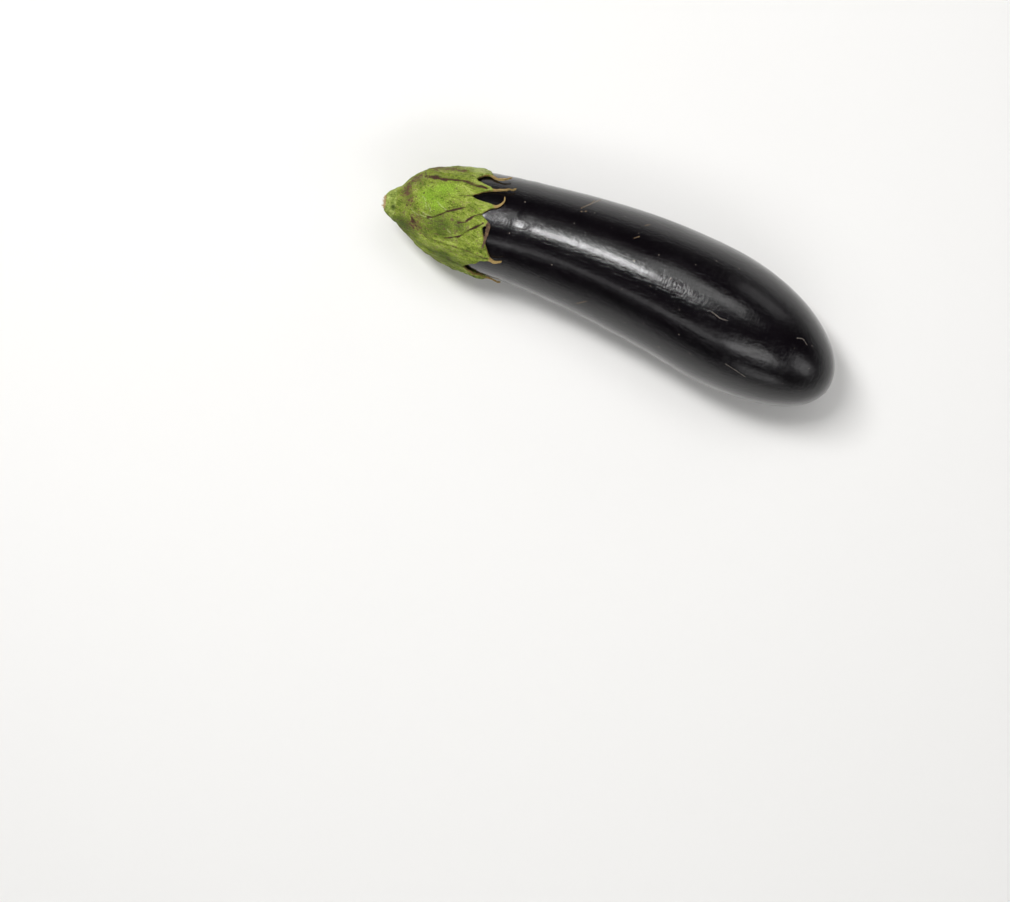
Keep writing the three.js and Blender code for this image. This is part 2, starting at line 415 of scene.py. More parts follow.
place = add(tree, "GeometryNodeInputPosition")
outward = add(tree, "GeometryNodeInputNormal")
swells = add(tree, "ShaderNodeTexNoise", {}, {
    "Vector": add(tree, VECTOR_MATH, {"operation": "MULTIPLY"}, {0: place, 1: (0.6, 1.0, 1.0)}),
    "Scale": calculate(tree, "DIVIDE", 1.0, given["Swell length"]),
    "Detail": 1.0})
deepest = calculate(tree, "MULTIPLY", given["Swell height"], -1.0)
swell = rescale(tree, swells, 0.0, 1.0, deepest, given["Swell height"], clamp=False)
from_scar = add(tree, VECTOR_MATH, {"operation": "DISTANCE"}, {0: place, 1: given["Scar centre"]})
dimple = rescale(tree, from_scar.outputs["Value"], 0.0, given["Scar radius"], given["Scar depth"], 0.0,
                 interpolation_type="SMOOTHSTEP")
proud = calculate(tree, "SUBTRACT", swell, dimple)
offset = add(tree, VECTOR_MATH, {"operation": "SCALE"}, {0: outward, "Scale": proud})
grown = move(tree, closed, Offset=offset)

apart = add(tree, "ShaderNodeSeparateXYZ", {}, {0: add(tree, "GeometryNodeInputPosition")})
above_floor = calculate(tree, "MAXIMUM", apart.outputs["Z"], given["Rest depth"])
pressed_place = vector(tree, apart.outputs["X"], apart.outputs["Y"], above_floor)
pressed = move(tree, grown, Position=pressed_place)
moved = add(tree, "GeometryNodeTransform", {}, {"Geometry": pressed, "Translation": given["Shift"]})
smooth = add(tree, "GeometryNodeSetShadeSmooth", {}, {"Geometry": moved})
end_tree(tree, smooth, given["Skin"])

fruit = grow("fruit_skin", tree, fruit_sizes)
hand_in(fruit, "skin", "fruit")

# %% [markdown]
# ## The calyx
# The calyx is one leathery cup that grips the fruit's shoulder and ends in eight sepals. It is too
# irregular for a plain rule, so it is drawn as a grid of points: rows run from the stalk to the edge, and
# each sepal has its own columns, which draw together into a dried tail that curls. Every point has a
# station, an angle and a height off the axis, so the cup hugs the fruit wherever the fruit's sizes put it.
# A second layer under the first, and a rim between them, make it a solid shell.

# %% The eight sepals
SEPAL_COLUMNS = 40
CUP_ROWS = 66
SEPAL_ROWS = 44
FIRST_EDGE = 98
# Each sepal: degrees round the axis, the station of the notch after it, the lengths of its blade and its
# dried tail, the tail's half width, the way it leans and the way its tail turns in degrees, the share of
# the tail's length that the turn takes, and how far the tail lifts off.
SEPALS = [
    (54, 32.8, 8.0, 8.5, 0.5, -50, 112, 1.0, 1.0),
    (23.5, 32.0, 8.3, 9.0, 0.45, 4, 22, 1.0, 0.7),
    (18.7, 37.9, 8.0, 6.0, 0.55, 8, 96, 1.0, 0.9),
    (13.8, 39.6, 2.6, 9.5, 1.0, -20, -72, 0.2, 1.4),
    (58, 35.5, 9.0, 5.5, 0.5, -12, 60, 1.0, 1.2),
    (62, 36.0, 12.0, 6.0, 0.5, 10, -50, 1.0, 0.2),
    (64, 34.5, 11.5, 6.5, 0.45, -8, 45, 1.0, 0.5),
    (66, 34.0, 12.0, 5.5, 0.5, 12, -60, 1.0, 1.5),
]
# Lines on the calyx are lists of (station, degrees). A fold is a step: the skin on its left stands higher
# by so many mm. A ridge is raised along its line, or sunk where its height is negative.
FOLDS = [
    ([(15.5, 86), (13.6, 68), (13.8, 56), (17, 46.5), (20.8, 40.8), (28.3, 39), (32.4, 33.5), (37.1, 32.8),
      (40.4, 34)], 1.1),
    ([(16.6, -15), (18.6, -14.3), (20.5, -10.2), (23.6, -3.2), (26.1, 0), (29.3, 4), (32.2, 6.8)], 0.7),
    ([(37.9, 1.8), (35.4, -1.5), (33, -7.5), (32.2, -10.8), (27, -15)], 0.5),
    ([(25, -36), (31.4, -26.3), (34.6, -16.8), (38.3, -9.5), (40.3, -5)], 0.7),
    ([(13, -100), (20, -106), (30, -109), (38, -108)], 0.7),
    ([(38, -170), (28, -172), (19, -168), (13, -160)], 0.7),
    ([(12, -222), (20, -228), (31, -231), (40, -230)], 0.8),
]
RIDGES = [
    ([(22.6, 84), (26.8, 62), (30.2, 51.5), (32.8, 47.8)], -0.5),
    ([(26.9, 19.2), (28.6, 19.2), (32, 20.5)], -0.35),
    ([(15, 42), (17.5, 36), (16, 30)], -0.3),
    ([(9.2, -23.2), (11.3, -34.2), (13.6, -44.2), (19, -52)], -0.8),
    ([(35.5, -70), (28, -70), (18, -74)], -0.5),
    ([(36, -132), (27, -132), (17, -138)], -0.5),
    ([(34.5, -196), (28, -196), (17, -200)], -0.5),
    ([(34, -262), (28, -264), (20, -258)], -0.4),
    ([(18, -46), (26, -43), (36, -41), (45, -43)], 0.6),
    ([(20, -104), (30, -101), (46, -99)], 0.6),
    ([(20, -164), (30, -164), (46, -163)], 0.5),
]
PALE_WRINKLES = [
    [(12.5, -15.5), (15, -17), (18.1, -17.2)], [(13.4, -10), (15.5, -13), (17.6, -13.5)],
    [(14.3, 5.8), (15, 0), (15.6, -6)], [(15.8, 4), (16.4, -2), (17.4, -8)],
    [(18.4, 8.5), (20.8, 2.5), (23.1, -1.8)], [(12.6, 16), (13.8, 12), (14.6, 7)],
    [(24, -20), (26, -25), (28, -28)], [(9, -8), (10.5, -14), (13, -19)],
]
# Patches are (station, degrees, length in mm, width in mm).
SPOTS = [(13.5, 20.2, 0.45, 0.45), (9.5, -23.2, 0.5, 0.5), (7.9, -4.2, 0.4, 0.4), (11.5, -34, 1.2, 1.6),
         (16.6, -17, 0.8, 0.9)]
BLUSHED = [(7.6, 38, 2.6, 5), (9, 8, 1.6, 3), (10.5, 62, 3, 4), (18, 76, 4.5, 5), (23, 68, 4.5, 4),
           (27, 60, 3, 2), (12, -36, 3, 4), (9, -120, 3, 6), (24, -175, 5, 4), (15, -215, 4, 5)]
FRESH = [(15.3, 14, 5, 5), (21, 26, 7, 4), (19, 4, 5, 4), (18, -128, 6, 6), (16, 200, 5, 6)]
BLEACHED = [(35, 72, 8, 9), (30, 82, 6, 8)]
SHADED = [(22, -22, 8, 5), (30, -16, 4, 3), (8, -60, 4, 6), (27, -70, 9, 5), (3, -22, 1.0, 1.5)]
# Swells are patches with a height in mm, negative for a dent.
SWELLS = [(16, 88, 9, 12, 1.5), (11.5, -74, 4.5, 7, -1.2), (5.6, -80, 1.8, 6, 0.6), (17, -2, 4, 4, 0.5),
          (24, -30, 5, 5, 0.5), (10, 20, 3, 3, -0.3), (39.5, 82, 5, 9, -0.8)]

# %% [markdown]
# ## How the calyx meets the stalk
# The stub is a rounded knob, and the cup grows out of it without a step. So the knob's outline is a rule too,
# and the cup starts as a film on the knob and swells into the dome.

# %% Radii of the knob and the cup
CUT_RADIUS = 2.9
KNOB_RADIUS = 6.6
KNOB_LENGTH = 6.0
KNOB_POWER = 0.8
CUP_EDGE = 3.8
CUP_RISE = 2.6
FILM = 0.05
HOLLOW = 1.7
MEAN_THICKNESS = 1.5


def knob_radius(station):
    swell = np.sin(np.pi / 2 * share_of(station, 0, KNOB_LENGTH)) ** KNOB_POWER
    return CUT_RADIUS + (KNOB_RADIUS - CUT_RADIUS) * swell


def calyx_radius(station, thickness):
    """The outer face: a film on the knob, then a dome that ends a sepal's thickness off the fruit."""
    dome = rounded_end(share_of(station, SHOULDER_END, CALYX_START), CUP_POWER, CUP_POWER)
    dome = COLLAR_RADIUS + (body_radius(station) + FIT_GAP + thickness - COLLAR_RADIUS) * dome
    knob = knob_radius(station) + FILM
    extra = dome - knob
    rounding = np.clip(1 - np.abs(extra) / HOLLOW, 0, None) ** 2 * HOLLOW / 4
    return knob + (np.maximum(extra, 0) + rounding) * smooth_step(station, CUP_EDGE, CUP_EDGE + CUP_RISE)


# %% Measure on the cup
def round_from(degrees, angle, reach):
    """How far round the axis an angle is from so many degrees, in mm at that reach."""
    return np.radians((np.degrees(angle) - degrees + 180) % 360 - 180) * reach


def from_line(line, station, angle):
    """How far a place is from a line in mm, positive on its left, and how far along the line it is."""
    nearest = np.full(station.shape, 1e9)
    along = np.zeros(station.shape)
    for step, ((s0, a0), (s1, a1)) in enumerate(zip(line, line[1:])):
        reach = np.float64(calyx_radius(np.float64((s0 + s1) / 2), MEAN_THICKNESS))
        run_s, run_a = s1 - s0, math.radians(a1 - a0) * reach
        across = round_from(a0, angle, reach)
        onward = station - s0
        share = np.clip((onward * run_s + across * run_a) / (run_s ** 2 + run_a ** 2), 0, 1)
        distance = np.hypot(onward - share * run_s, across - share * run_a)
        distance = np.where(run_s * across - run_a * onward > 0, distance, -distance)
        closer = np.abs(distance) < np.abs(nearest)
        nearest = np.where(closer, distance, nearest)
        along = np.where(closer, (step + share) / (len(line) - 1), along)
    return nearest, along


def near_line(line, station, angle, width):
    """1 on a line, falling off over width mm, and fading in at its start."""
    distance, along = from_line(line, station, angle)
    return np.exp(-(distance / width) ** 2) * np.clip(along * 6, 0, 1)


def fold(line, station, angle):
    """A step that rises on the left of a line within 0.7 mm, sinks again over 5 mm, and fades at its ends."""
    distance, along = from_line(line, station, angle)
    step = smooth_step(distance, -0.3, 0.35) * np.exp(-np.clip(distance, 0, None) / 5)
    return step * np.clip(along * 9, 0, 1) * np.clip((1 - along) * 6, 0, 1)


def patches(places, station, angle):
    """1 in the middle of each patch, falling off over its length and width."""
    strength = np.zeros(station.shape)
    for at, degrees, length, width in places:
        reach = calyx_radius(np.float64(at), MEAN_THICKNESS)
        across = round_from(degrees, angle, reach)
        strength = np.maximum(strength, np.exp(-((station - at) / length) ** 2 - (across / width) ** 2))
    return strength


def noise_at(*places):
    """Smooth noise, from about -1 to 1."""
    places = np.stack(places, axis=-1)
    values = [noise.noise(Vector(place)) for place in places.reshape(-1, 3)]
    return np.array(values).reshape(places.shape[:-1]) * 1.6


def rough(station, arc, length, width, seed):
    """Noise whose bumps are length mm along the fruit and width mm round it."""
    return noise_at(station / length, arc / width, np.full_like(arc, seed * 7.3))


# %% Lay out the points
def cup_layout():
    """The cup's rows and columns: the station and the angle of each point."""
    across = np.linspace(0, 1, SEPAL_COLUMNS + 1)[None, :-1]
    down = np.linspace(0, 1, CUP_ROWS + 1)[:, None] ** 1.15
    stations, angles, first = [], [], FIRST_EDGE
    for number, (span, notch_after, *_) in enumerate(SEPALS):
        notch_before = SEPALS[number - 1][1]
        edge = notch_before + (notch_after - notch_before) * across
        stations.append(CUP_EDGE + (edge - CUP_EDGE) * down)
        angles.append(np.radians(first - span * across) + 0 * down)
        first -= span
    return np.hstack(stations), np.hstack(angles)


# A tail wavers by so many degrees, its edges are ragged by a share of its width, and it thins by a share.
TAIL_WAVER, TAIL_RAGGED, TAIL_THINNING = 14, 0.3, 0.75


def sepal_layout(number):
    """One sepal's rows past the cup: station, angle, how far from the cup, and the share across."""
    span, notch_after, blade, tail, tail_width, lean, curl, quick, _ = SEPALS[number]
    notch_before = SEPALS[number - 1][1]
    first = FIRST_EDGE - sum(sepal[0] for sepal in SEPALS[:number])
    across = np.linspace(0, 1, SEPAL_COLUMNS + 1)[None, :]
    edge = notch_before + (notch_after - notch_before) * across
    middle, length = (notch_before + notch_after) / 2, blade + tail
    gone = (np.linspace(0, 1, SEPAL_ROWS + 1)[1:] * length)[:, None]
    wander = TAIL_WAVER * np.sin(gone * 1.9 + number) * share_of(gone, blade, length)
    curled = curl * share_of(gone, blade, blade + quick * tail)
    turn = np.radians(lean * share_of(gone, 0, 0.4 * blade) + curled + wander)
    onward = np.cumsum(np.cos(turn), axis=0) * length / SEPAL_ROWS
    sideways = np.cumsum(np.sin(turn), axis=0) * length / SEPAL_ROWS
    reach = calyx_radius(np.float64(middle), 1.2)
    ragged = 1 + TAIL_RAGGED * np.sin(gone * 4.1 + 2 * number) * share_of(gone, blade, length)
    slim = tail_width * ragged * (1 - TAIL_THINNING * share_of(gone, blade, length))
    narrowing = (1 - share_of(gone, 0, blade)) ** 1.3
    half_width = slim + (math.radians(span / 2) * reach - tail_width) * narrowing
    offset = (1 - 2 * across) * half_width
    tilt = turn * share_of(gone, 0, blade) ** 2
    station = middle + onward - offset * np.sin(tilt) + (edge - middle) * narrowing
    angle = math.radians(first - span / 2) + (sideways + offset * np.cos(tilt)) / reach
    return station, angle, gone + 0 * angle, across + 0 * angle


# %% Shape the calyx
FILM_THICKNESS = 0.1
CUP_THICKNESS = 1.9
SEPAL_THICKNESS = 1.4
TAIL_THICKNESS = 0.7
RIM_THICKNESS = 0.35
LEAST_THICKNESS = 0.12
LEAST_GAP = 0.1
RIM_CURL = 0.5
WRINKLE_HEIGHT = 0.3
FLOOR_GAP = 0.05
SHARP_ANGLE = 60
WITHERED_SEPAL = 3
# The cup's relief: the height, length and width of its bumps in mm, and a seed.
RELIEF = [(0.3, 8, 2.6, 1), (0.18, 7, 1.2, 2), (0.16, 2.4, 1.2, 6), (0.1, 1.1, 0.8, 3)]


def calyx_points():
    """The calyx's outer and inner points, in metres, and its colour masks."""
    station, angle = cup_layout()
    layouts = [(station, angle, 0 * station, 0 * station + 0.5)]
    layouts += [sepal_layout(number) for number in range(len(SEPALS))]
    station, angle, gone, across = (np.concatenate([layout[part].ravel() for layout in layouts])
                                    for part in range(4))
    # The cup counts with the first sepal here, which changes nothing, because its points are gone 0.
    owner = np.repeat([0, *range(len(SEPALS))], [layout[0].size for layout in layouts])
    blade, tail, lift = (np.array([sepal[part] for sepal in SEPALS])[owner] for part in (2, 3, 8))
    dried = smooth_step(gone, 0.75 * blade, 1.05 * blade)
    lifted = lift * smooth_step(gone, 0.8 * blade, blade + 0.7 * tail)
    withered = dried * (owner == WITHERED_SEPAL)
    rim = smooth_step(gone, 0, 1.5) * np.abs(2 * across - 1) ** 8 * (1 - dried)

    off_film = smooth_step(station, CUP_EDGE, CUP_EDGE + 6)
    thickness = FILM_THICKNESS + (CUP_THICKNESS - FILM_THICKNESS) * off_film
    thickness -= (CUP_THICKNESS - SEPAL_THICKNESS) * smooth_step(station, 20, 38)
    thickness -= (SEPAL_THICKNESS - TAIL_THICKNESS) * dried
    thickness += (RIM_THICKNESS - thickness) * rim * 0.85
    arc = angle * calyx_radius(station, MEAN_THICKNESS)
    radius = calyx_radius(station, thickness) + lifted
    for height, length, width, seed in RELIEF:
        bumps = height * rough(station, arc, length, width, seed)
        radius += bumps * smooth_step(station, CUP_EDGE, CUP_EDGE + 4)
    for *place, height in SWELLS:
        radius += height * patches([place], station, angle)
    radius += RIM_CURL * rim * (0.7 + rough(station, arc, 3, 3, 4))
    radius += withered * (0.4 + 0.6 * rough(station, arc, 1.3, 0.8, 8))

    broken = 0.5 + 0.5 * rough(station, arc, 2.2, 2.2, 5)
    # This mask holds real dark spots and purple-brown stain, together with painted shade along the folds and
    # creases.
    stain_and_fold_shade = patches(SPOTS, station, angle)
    for line, height in FOLDS:
        radius += height * fold(line, station, angle)
        distance, along = from_line(line, station, angle)
        # The seam sits just below each fold's step, under the raised flap: it is partly stain and partly
        # painted shade.
        seam_stain_and_shade = np.exp(-((distance + 0.1) / (0.3 + 0.45 * broken ** 2)) ** 2) * np.clip((1 - along) * 8, 0, 1)
        stain_and_fold_shade = np.maximum(stain_and_fold_shade, seam_stain_and_shade * (0.78 + 0.4 * broken))
    for line, height in RIDGES:
        radius += height * near_line(line, station, angle, 0.6) * (1 - 0.6 * dried)
        # Along the ridges the dark is stain, and in the sunken creases it is partly painted shade.
        stain_and_fold_shade = np.maximum(stain_and_fold_shade, near_line(line, station, angle, 0.5) * (0.35 + 0.6 * broken))
    pale = 1.1 * patches(BLEACHED, station, angle) * (1 - dried)
    for line in PALE_WRINKLES:
        wrinkle = near_line(line, station, angle, 0.4)
        radius += WRINKLE_HEIGHT * wrinkle
        pale = np.maximum(pale, wrinkle)
    off_fruit = np.minimum(fruit_radius(station) + LEAST_GAP, radius - LEAST_THICKNESS)
    inner = np.maximum(radius - thickness, off_fruit)
    masks = {"stain_and_fold_shade": stain_and_fold_shade, "dry": dried, "withered": withered, "rim": rim, "pale": pale,
             "blush": patches(BLUSHED, station, angle) * (1 - dried),
             "fresh": patches(FRESH, station, angle), "shaded": patches(SHADED, station, angle)}
    return in_frame(station, angle, radius), in_frame(station, angle, inner), masks


def calyx_quads():
    """The outer face as quads: the cup's rings, then each sepal's strip from the cup's last row."""
    ring, width = SEPAL_COLUMNS * len(SEPALS), SEPAL_COLUMNS + 1
    sheets = [[[row * ring + column % ring for column in range(ring + 1)] for row in range(CUP_ROWS + 1)]]
    base = (CUP_ROWS + 1) * ring
    for number in range(len(SEPALS)):
        cup_edge = sheets[0][-1][number * SEPAL_COLUMNS:][:width]
        starts = range(base, base + SEPAL_ROWS * width, width)
        sheets.append([cup_edge] + [list(range(start, start + width)) for start in starts])
        base += SEPAL_ROWS * width
    return [(above[column + 1], below[column + 1], below[column], above[column])
            for rows in sheets for above, below in zip(rows, rows[1:]) for column in range(len(below) - 1)]


def paint(mesh, masks):
    """Stores each mask on the mesh's points, where a finish can read it by name."""
    for label, values in masks.items():
        mask = mesh.attributes.new(label, "FLOAT", "POINT")
        mask.data.foreach_set("value", np.asarray(values, np.float32))


def solid_sheet(name, outer, inner, quads, masks, material):
    """A closed shell from two layers of points, with a rim where the sheet ends."""
    count = len(outer)
    edges = {edge for quad in quads for edge in zip(quad, quad[1:] + quad[:1])}
    rim = [(end, start, start + count, end + count) for start, end in edges if (end, start) not in edges]
    under = [tuple(corner + count for corner in reversed(quad)) for quad in quads]
    points = np.concatenate([outer, inner])
    points[:, 2] = np.maximum(points[:, 2], FLOOR_GAP * MM)
    mesh = bpy.data.meshes.new(name)
    mesh.from_pydata(points.tolist(), [], quads + under + sorted(rim))
    paint(mesh, {label: np.tile(values, 2) for label, values in masks.items()})
    mesh.shade_smooth()
    mesh.set_sharp_from_angle(angle=math.radians(SHARP_ANGLE))
    mesh.materials.append(material)
    return show(name, mesh)


# %% [markdown]
# ## The green finish
# The calyx is a leaf-like skin with short felted hairs, so it looks velvety and has no gloss. Its folds
# are stained purple-brown with the fruit's own pigment, and the dark line at the foot of each fold and in
# each sunken crease is partly that stain and partly painted shade. Its tails have dried to straw, and the
# flesh between is mottled green with a fine pebbled net, whose creases are painted darker as shade. Masks
# painted on the points say where each colour goes, and noise breaks their edges. The real net is finer
# than would show, so its cells are drawn about 0.7 mm wide.

# %% Green finish
def green_finish(name, greens, masks):
    """A felted green, mottled from dark to light, with a colour laid over it for each mask."""
    material, tree, shader = new_finish(name, Roughness=0.72, IOR=1.42, Specular_IOR_Level=0.3)
    clouds = noise_pattern(tree, (6, 3.5, 3.5), 3.0)
    grain = noise_pattern(tree, (1.7, 0.75, 0.75), 4.0, Roughness=0.65)
    grain_share = calculate(tree, "MULTIPLY", grain, 0.6)
    tone = calculate(tree, "MULTIPLY_ADD", clouds, 0.4, grain_share)
    mottle = add(tree, "ShaderNodeValToRGB", {}, {"Fac": tone})
    ramp = mottle.color_ramp
    ramp.elements[0].position, ramp.elements[1].position = 0.38, 0.62
    ramp.elements[0].color, ramp.elements[1].color = linear(greens[0]), linear(greens[2])
    ramp.elements.new(0.5).color = linear(greens[1])
    off_grain = calculate(tree, "SUBTRACT", grain, 0.5)
    colour = mottle.outputs[0]
    for label, hex_colour, raggedness, low, high in masks:
        mask = add(tree, "ShaderNodeAttribute", {"attribute_name": label})
        ragged = calculate(tree, "MULTIPLY_ADD", off_grain, raggedness, mask.outputs["Fac"])
        colour = mix(tree, rescale(tree, ragged, low, high), colour, linear(hex_colour))
    net = add(tree, "ShaderNodeTexVoronoi", {"feature": "DISTANCE_TO_EDGE"}, {
        "Vector": millimetre_pattern(tree, (0.8, 0.65, 0.65)), "Scale": 1.0})
    # The net's creases are painted darker as shade between the pebbles, and the same net raises the pebbles
    # in the bump.
    pebbles_and_crease_shade = rescale(tree, net, 0.0, 0.25, 0.58, 1.0)
    tree.links.new(mix(tree, 1.0, colour, pebbles_and_crease_shade, "MULTIPLY"), shader.inputs["Base Color"])
    height = calculate(tree, "MULTIPLY_ADD", grain, 1.2, pebbles_and_crease_shade)
    emboss(tree, shader, height, 0.16)
    return material


# The purple-brown fold colour is partly stain and partly painted shade under the folds and in the creases.
calyx_green = green_finish("felted_calyx_skin", ("#52631a", "#92a53a", "#c3cf6c"), [
    ("fresh", "#92bb30", 2.0, 0.2, 1.2), ("shaded", "#43561a", 2.0, 0.2, 1.2),
    ("pale", "#bfc882", 1.6, 0.5, 1.2), ("rim", "#857039", 1.2, 0.35, 0.9),
    ("blush", "#694a38", 5.0, 0.22, 1.1), ("stain_and_fold_shade", "#4b3027", 1.6, 0.35, 0.85),
    ("dry", "#b0945c", 1.2, 0.35, 0.8), ("withered", "#6d5645", 3.0, 0.2, 0.9)])
outer, inner, masks = calyx_points()
calyx = solid_sheet("calyx_cup_and_sepals", outer, inner, calyx_quads(), masks, calyx_green)
hand_in(calyx, "calyx", "calyx")

# %% [markdown]
# ## The stalk
# The stalk was cut almost flush, so only a rounded green knob is left, with a small woody face that the
# knife left rough. It is turned like a pot: rings from the middle of the cut face, over its rim, down the
# knob and under the calyx.

# %% Turn the stalk
STALK_SIDES = 120
DENT_STATION, DENT_ANGLE = 3, 338
FACE_STATION = 0.3
RIM_STATION = 0.35
TUCK_LENGTH = 1.4
FACE_RINGS, KNOB_RINGS, TUCK_RINGS = 15, 46, 7
face = [(FACE_STATION, share * CUT_RADIUS) for share in np.linspace(0, 0.97, FACE_RINGS + 1)[1:]]
side = [(station, knob_radius(station)) for station in np.linspace(RIM_STATION, KNOB_LENGTH, KNOB_RINGS)]
tuck = [(KNOB_LENGTH + TUCK_LENGTH * math.sin(turn), KNOB_RADIUS * math.cos(turn))
        for turn in np.linspace(0, math.pi / 2, TUCK_RINGS + 2)[1:-1]]
outline = np.array(face + side + tuck)
angle = np.arange(STALK_SIDES) / STALK_SIDES * 2 * np.pi + 0 * outline[:, :1]
station, radius = outline[:, :1] + 0 * angle, outline[:, 1:] + 0 * angle
on_face = 1 - smooth_step(radius, CUT_RADIUS - 0.3, CUT_RADIUS + 0.6)
flesh = (1 - on_face) * (1 - smooth_step(station, CUP_EDGE - 0.5, CUP_EDGE + 1))


def lumps(size, seed):
    """Noise on the knob in lumps of a size in mm. It closes on itself round the axis."""
    across, along = np.cos(angle) * radius, np.sin(angle) * radius
    return noise_at(across / size, along / size, (station + 50 * seed) / size)


def dent(length, degrees):
    """1 in the middle of the knob's one dent, falling off over a length in mm and a width in degrees."""
    aside = np.degrees(angle) - DENT_ANGLE
    return np.exp(-((station - DENT_STATION) / length) ** 2 - (aside / degrees) ** 2)


pith = np.exp(-((radius - 1.9) / 0.4) ** 2)
station = station + on_face * (0.25 * lumps(0.6, 1) + 0.2 * lumps(2, 2) - 0.35 * pith)
radius = radius + flesh * (0.2 * lumps(2.4, 3) + 0.07 * lumps(0.8, 4))
radius -= flesh * 0.45 * dent(1.1, 16)
points = in_frame(station, angle, radius).reshape(-1, 3)
points = np.concatenate([points, in_frame(np.array([RIM_STATION, KNOB_LENGTH + TUCK_LENGTH]), 0.0, 0.0)])
rings, face_pole, hidden_pole = len(outline), len(points) - 2, len(points) - 1
faces = []
for side in range(STALK_SIDES):
    beside = (side + 1) % STALK_SIDES
    faces.append((face_pole, side, beside))
    faces.append(((rings - 1) * STALK_SIDES + beside, (rings - 1) * STALK_SIDES + side, hidden_pole))
    for row in range(rings - 1):
        top, bottom = row * STALK_SIDES, (row + 1) * STALK_SIDES
        faces.append((top + side, bottom + side, bottom + beside, top + beside))
mesh = bpy.data.meshes.new("stalk_stub")
mesh.from_pydata(points.tolist(), [], faces)
cut_rim = np.exp(-((outline[:, 1:] - CUT_RADIUS) / 0.5) ** 2) * (outline[:, :1] < 1.2) + 0 * angle
paint(mesh, {label: np.append(values.ravel(), [values[0, 0], 0]) for label, values in {
    "cut": on_face, "cut_rim": cut_rim, "shaded": dent(1.0, 14) * flesh}.items()})
mesh.shade_smooth()
mesh.materials.append(green_finish("cut_stalk_skin", ("#66782b", "#9aab4c", "#bfca76"), [
    ("shaded", "#44521a", 1.0, 0.15, 0.9), ("cut", "#c9ab78", 0.8, 0.5, 1.0),
    ("cut_rim", "#8b6a42", 0.9, 0.35, 0.9)]))
stalk = show("stalk_stub", mesh)
hand_in(stalk, "stalk", "stalk")

# %% [markdown]
# ## Torn fibres
# The knife tore some of the stalk's fibres, and they stand up round the cut in a thin fringe. They repeat,
# so nodes stand small cones on a ring, each tilted and sized a little differently.

# %% Fringe the cut
torn_wood, _, _ = two_tone_finish(
    "torn_stalk_fibres", (2, 0.4, 0.4), 3.0, "#8d6c48", "#dcc396", Roughness=0.8, IOR=1.45)
cut_middle, deeper = in_frame(np.array([0.1, 1.1]), 0.0, 0.0)
fibre_sizes = {
    "Fibres": 38, "Ring radius": 2.3 * MM, "Shortest": 0.5 * MM, "Longest": 1.5 * MM,
    "Thickness": 0.27 * MM, "Tilt": 0.5, "Centre": in_frame(0.45, 0.0, 0.0),
    "Outward": cut_middle - deeper, "Seed": 5, "Wood": torn_wood}
tree, given = shape_tree("Fringe of fibres", fibre_sizes)
ring = add(tree, "GeometryNodeCurvePrimitiveCircle", {}, {
    "Resolution": given["Fibres"], "Radius": given["Ring radius"]})
roots = add(tree, "GeometryNodeCurveToPoints", {"mode": "EVALUATED"}, {"Curve": ring.outputs[0]})
WANDER, SINK = 0.4 * MM, 0.1 * MM
jitter = add(tree, "FunctionNodeRandomValue", {"data_type": "FLOAT_VECTOR"}, {
    0: (-WANDER, -WANDER, -SINK), 1: (WANDER, WANDER, 0.0), "Seed": given["Seed"]})
spread = move(tree, roots, Offset=jitter.outputs[0])
least = calculate(tree, "MULTIPLY", given["Tilt"], -1.0)
leaning = add(tree, "ShaderNodeCombineXYZ", {}, {
    axis: random_from(tree, least, given["Tilt"], axis + 1) for axis in (0, 1)})
length = random_from(tree, given["Shortest"], given["Longest"], 3)
fibre = add(tree, "GeometryNodeMeshCone", {}, {
    "Vertices": 6, "Side Segments": 3, "Radius Top": 0.12, "Radius Bottom": 1.0, "Depth": 1.0})
proportions = vector(tree, given["Thickness"], given["Thickness"], length)
fringe = add(tree, "GeometryNodeInstanceOnPoints", {}, {
    "Points": spread, "Instance": fibre, "Rotation": leaning, "Scale": proportions})
facing = add(tree, "FunctionNodeAlignRotationToVector", {"axis": "Z"}, {"Vector": given["Outward"]})
placed = add(tree, "GeometryNodeTransform", {}, {
    "Geometry": fringe, "Translation": given["Centre"], "Rotation": facing})
end_tree(tree, placed, given["Wood"])

fibres = grow("stalk_fibres", tree, fibre_sizes)
hand_in(fibres, "stalk")

# %% [markdown]
# ## Marks on the skin
# Skin that rubbed on a stem as it grew has healed as thin lines of tan cork, and pale pores dot it all
# over. A flat shader spot would vanish close up, so both are real flakes, a few hundredths of a
# millimetre proud. Flakes repeat, so nodes lay them: pores scattered on the fruit, and cork along lines.

# %% Scatter the pores
TRIES_PER_SQUARE_METRE = 9000.0
pale_cork, _, _ = new_finish("pale_pore_cork", Base_Color=linear("#8d8378"), Roughness=0.75, IOR=1.45)
pore_sizes = {
    "Fruit": fruit, "From x": float(in_frame(44, 0.0, 0.0)[0]), "From z": 1.5 * MM, "Apart": 8 * MM,
    "Smallest": 0.08 * MM, "Largest": 0.24 * MM, "Flatness": 0.3, "Seed": 11, "Cork": pale_cork}
tree, given = shape_tree("Pores on the skin", pore_sizes)
fruit_shape = add(tree, "GeometryNodeObjectInfo", {}, {"Object": given["Fruit"]})
where = add(tree, "ShaderNodeSeparateXYZ", {}, {0: add(tree, "GeometryNodeInputPosition")})
past_calyx = add(tree, "FunctionNodeCompare", {"operation": "GREATER_THAN"}, {0: where, 1: given["From x"]})
off_floor = add(tree, "FunctionNodeCompare", {"operation": "GREATER_THAN"}, {
    0: where.outputs["Z"], 1: given["From z"]})
in_air = add(tree, "FunctionNodeBooleanMath", {"operation": "AND"}, {0: past_calyx, 1: off_floor})
